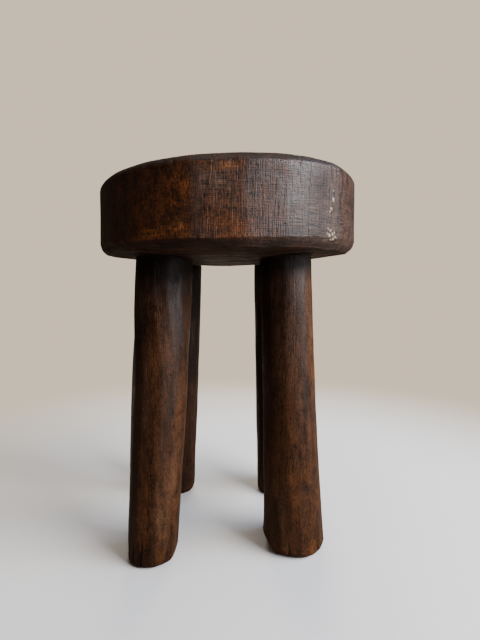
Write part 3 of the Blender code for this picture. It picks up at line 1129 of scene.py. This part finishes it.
def leg_wood(leg):
    """A leg's wood: plainer and browner, its pith a little off the leg's middle."""
    x, y = leg.centre(SEAT_HEIGHT)
    look = {
        "dark": (0.012, 0.0050, 0.0026),
        "brown": (0.040, 0.0160, 0.0072),
        "warm": (0.086, 0.0290, 0.0078),
        "grey": (0.040, 0.0245, 0.0195),
        "pale": (0.105, 0.0520, 0.0270),
        "bright": (0.240, 0.0950, 0.0260),
        "threads": 1.4,
        "tools": 0.45,
        "mottle": 1.0,
        "crackle": 1.3,
        "streaky": 0.3,
        "specular": 0.17,
        "relief": 0.9,
        "lumps": 1.1,
        "cracks": 0.45,
        "pith": (x + 0.003, y - 0.002),
        "rings": 1.9 * MM,
    }
    shift = (leg.seed * 0.31, leg.seed * 0.17, leg.seed * 0.07)
    return old_wood("leg_wood_" + leg.corner, shift, look)


def wedge_wood(leg):
    """Paler wedges, seen only as end grain strips in the seat's top."""
    n = Nodes("wedge_wood_" + leg.corner)
    shift = (leg.seed * 0.13, leg.seed * 0.29, 0.0)
    fibre = n.noise((900.0, 900.0, 30.0), shift, detail=3.0, rough=0.6)
    cloud = n.noise((120.0, 120.0, 120.0), shift, detail=3.0)
    colour = n.mix(n.step(fibre, 0.35, 0.65), (0.045, 0.021, 0.010), (0.110, 0.055, 0.028))
    colour = n.mix(n.step(cloud, 0.45, 0.75), colour, (0.026, 0.012, 0.006))
    n.put(n.shader, "Base Color", colour)
    n.put(n.shader, "Roughness", n.step(cloud, 0.3, 0.7, 0.45, 0.65))
    n.put(n.shader, "Normal", n.bump(fibre, 0.3 * MM))
    return n.material


def finish_wedges():
    """The CAD's wedges stay, in their own wood."""
    for leg in LEGS.values():
        wedge = frame["nodes"]["wedge_" + leg.corner]
        wedge.data.materials.clear()
        wedge.data.materials.append(wedge_wood(leg))


# ---- studio
BACKDROP = (0.95, 0.78, 0.58)
FLOOR_COLOURS = ((0.80, 0.785, 0.77), (0.86, 0.845, 0.83))
FLOOR_BOUNCE = (0.26, 0.21, 0.17)
FLOOR_FADE = (0.22, 0.60)
ROOM = (1.00, 0.80, 0.62)
ROOM_STRENGTH = 0.08
LIGHTS_AIM = (0.0, 0.0, 0.15)
LIGHTS = (
    # name, bearing and elevation in degrees, distance, width, height, watts, colour
    ("window", 60, 24, 1.3, 0.95, 0.90, 44.0, (0.96, 0.98, 1.03)),
    ("sky", 92, 42, 1.3, 0.26, 0.26, 4.5, (0.62, 0.86, 1.28)),
    ("ceiling", 20, 88, 1.6, 0.90, 0.90, 7.5, (1.00, 0.94, 0.86)),
    ("wall", 178, 22, 1.3, 0.80, 0.70, 15.0, (1.00, 0.92, 0.82)),
)
# The camera's turns from level and from straight ahead are in radians.
CAMERA_PLACE = (0.0, -0.3939, 0.2166)
CAMERA_DOWN = 0.0909
CAMERA_RIGHT = 0.0248
CAMERA_LENS_MM = 24.975


def make_floor():
    """A plain pale floor that turns softly into the backdrop's colour away from the stool.

    What it throws back on the stool is held lower than what the camera sees of it.
    """
    mesh = bpy.data.meshes.new("floor")
    shape = bmesh.new()
    bmesh.ops.create_circle(shape, cap_ends=True, segments=64, radius=12.0)
    shape.to_mesh(mesh)
    shape.free()
    floor = shown("floor", mesh)
    n = Nodes("pale_floor")
    cloth = n.step(n.noise((900.0, 900.0, 900.0), detail=1.0), 0.3, 0.7)
    n.put(n.shader, "Base Color", n.mix(cloth, *FLOOR_COLOURS))
    n.put(n.shader, "Roughness", 0.9)
    n.put(n.shader, "Specular IOR Level", 0.2)
    far = n.tree.nodes.new("ShaderNodeEmission")
    n.put(far, "Color", (*BACKDROP, 1.0))
    distance = n.tree.nodes.new("ShaderNodeVectorMath")
    distance.operation = "LENGTH"
    n.put(distance, 0, n.place((1.0, 1.0, 0.0)))
    blend = n.tree.nodes.new("ShaderNodeMixShader")
    n.put(blend, 0, n.step(distance.outputs["Value"], *FLOOR_FADE))
    n.tree.links.new(n.shader.outputs[0], blend.inputs[1])
    n.tree.links.new(far.outputs[0], blend.inputs[2])
    rays = n.tree.nodes.new("ShaderNodeLightPath")
    dull = n.tree.nodes.new("ShaderNodeBsdfDiffuse")
    n.put(dull, "Color", (*FLOOR_BOUNCE, 1.0))
    seen = n.tree.nodes.new("ShaderNodeMixShader")
    n.put(seen, 0, rays.outputs["Is Camera Ray"])
    n.tree.links.new(dull.outputs[0], seen.inputs[1])
    n.tree.links.new(blend.outputs[0], seen.inputs[2])
    n.tree.links.new(seen.outputs[0], n.tree.nodes["Material Output"].inputs["Surface"])
    mesh.materials.append(n.material)


def make_world():
    """A dim pale room, which the camera sees as the backdrop's colour."""
    world = bpy.data.worlds.new("studio")
    bpy.context.scene.world = world
    world.use_nodes = True
    tree = world.node_tree
    room = tree.nodes["Background"]
    room.inputs["Color"].default_value = (*ROOM, 1.0)
    room.inputs["Strength"].default_value = ROOM_STRENGTH
    backdrop = tree.nodes.new("ShaderNodeBackground")
    backdrop.inputs["Color"].default_value = (*BACKDROP, 1.0)
    rays = tree.nodes.new("ShaderNodeLightPath")
    blend = tree.nodes.new("ShaderNodeMixShader")
    tree.links.new(rays.outputs["Is Camera Ray"], blend.inputs[0])
    tree.links.new(room.outputs[0], blend.inputs[1])
    tree.links.new(backdrop.outputs[0], blend.inputs[2])
    tree.links.new(blend.outputs[0], tree.nodes["World Output"].inputs["Surface"])


def make_light(name, bearing, elevation, distance, width, height, watts, colour):
    """A soft box that faces the stool's middle."""
    turn = math.radians(bearing)
    rise = math.radians(elevation)
    level = math.cos(rise)
    away = np.array([math.sin(turn) * level, -math.cos(turn) * level, math.sin(rise)])
    lamp = bpy.data.lights.new(name, "AREA")
    lamp.shape = "RECTANGLE"
    lamp.size = width
    lamp.size_y = height
    lamp.energy = watts
    lamp.color = colour
    item = bpy.data.objects.new(name, lamp)
    item.location = np.array(LIGHTS_AIM) + away * distance
    item.rotation_euler = (math.radians(90) - rise, 0.0, turn)
    item.visible_camera = False
    bpy.context.scene.collection.objects.link(item)


def make_camera():
    """Low and close, a little below the seat, through a wide lens."""
    lens = bpy.data.cameras.new("view")
    lens.sensor_width = 36.0
    lens.lens = CAMERA_LENS_MM
    lens.clip_start = 0.01
    camera = bpy.data.objects.new("view", lens)
    camera.location = CAMERA_PLACE
    camera.rotation_euler = (math.radians(90) - CAMERA_DOWN, 0.0, -CAMERA_RIGHT)
    bpy.context.scene.collection.objects.link(camera)
    bpy.context.scene.camera = camera


# ---- the stool on its floor
make_camera()
make_world()
make_floor()
for studio_light in LIGHTS:
    make_light(*studio_light)
make_seat()
for stool_leg in LEGS.values():
    make_leg(stool_leg)
finish_wedges()
